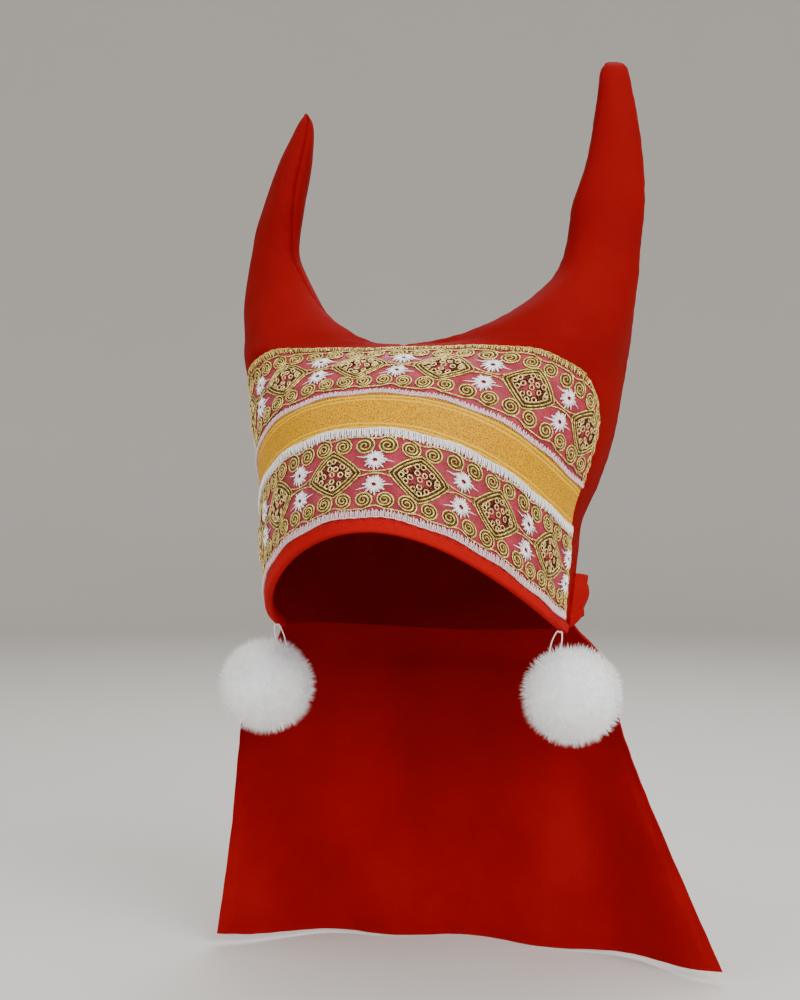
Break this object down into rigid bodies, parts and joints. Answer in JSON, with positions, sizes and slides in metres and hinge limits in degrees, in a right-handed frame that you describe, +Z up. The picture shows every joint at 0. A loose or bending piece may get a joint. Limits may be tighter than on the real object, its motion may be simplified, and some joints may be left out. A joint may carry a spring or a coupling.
{
  "type": "kichka",
  "caption": "Horned red cloth headdress with a lace-braided forehead panel, a nape cloth, back ties and white fur pompoms at the temples.",
  "frame": {"origin": "middle of the head opening, level with the temple corners of the cap, where it sits on the head", "axes": "+Z up through the crown, the forehead panel faces -Y, +X is the wearer's left"},
  "size_m": [0.3, 0.2102, 0.501],
  "materials": {
    "cap_cloth": "matte red cotton",
    "binding_cloth": "bright red bias binding",
    "lace_braid": "pink organza with gold cord and white thread",
    "yellow_ribbon": "woven satin ribbon",
    "white_fur": "soft white fur",
    "white_thread": "twisted white thread"
  },
  "bodies": {
    "root": {"cap_front": "cap_cloth", "cap_back": "cap_cloth", "rim_binding": "binding_cloth", "lower_lace_braid": "lace_braid", "yellow_ribbon": "yellow_ribbon", "upper_lace_braid": "lace_braid", "nape_cloth": "cap_cloth", "tie_left": "cap_cloth", "tie_right": "cap_cloth", "tie_knot": "cap_cloth", "pompom_left": "white_fur", "pompom_right": "white_fur", "pompom_loop_left": "white_thread", "pompom_loop_right": "white_thread"}
  },
  "joints": []
}
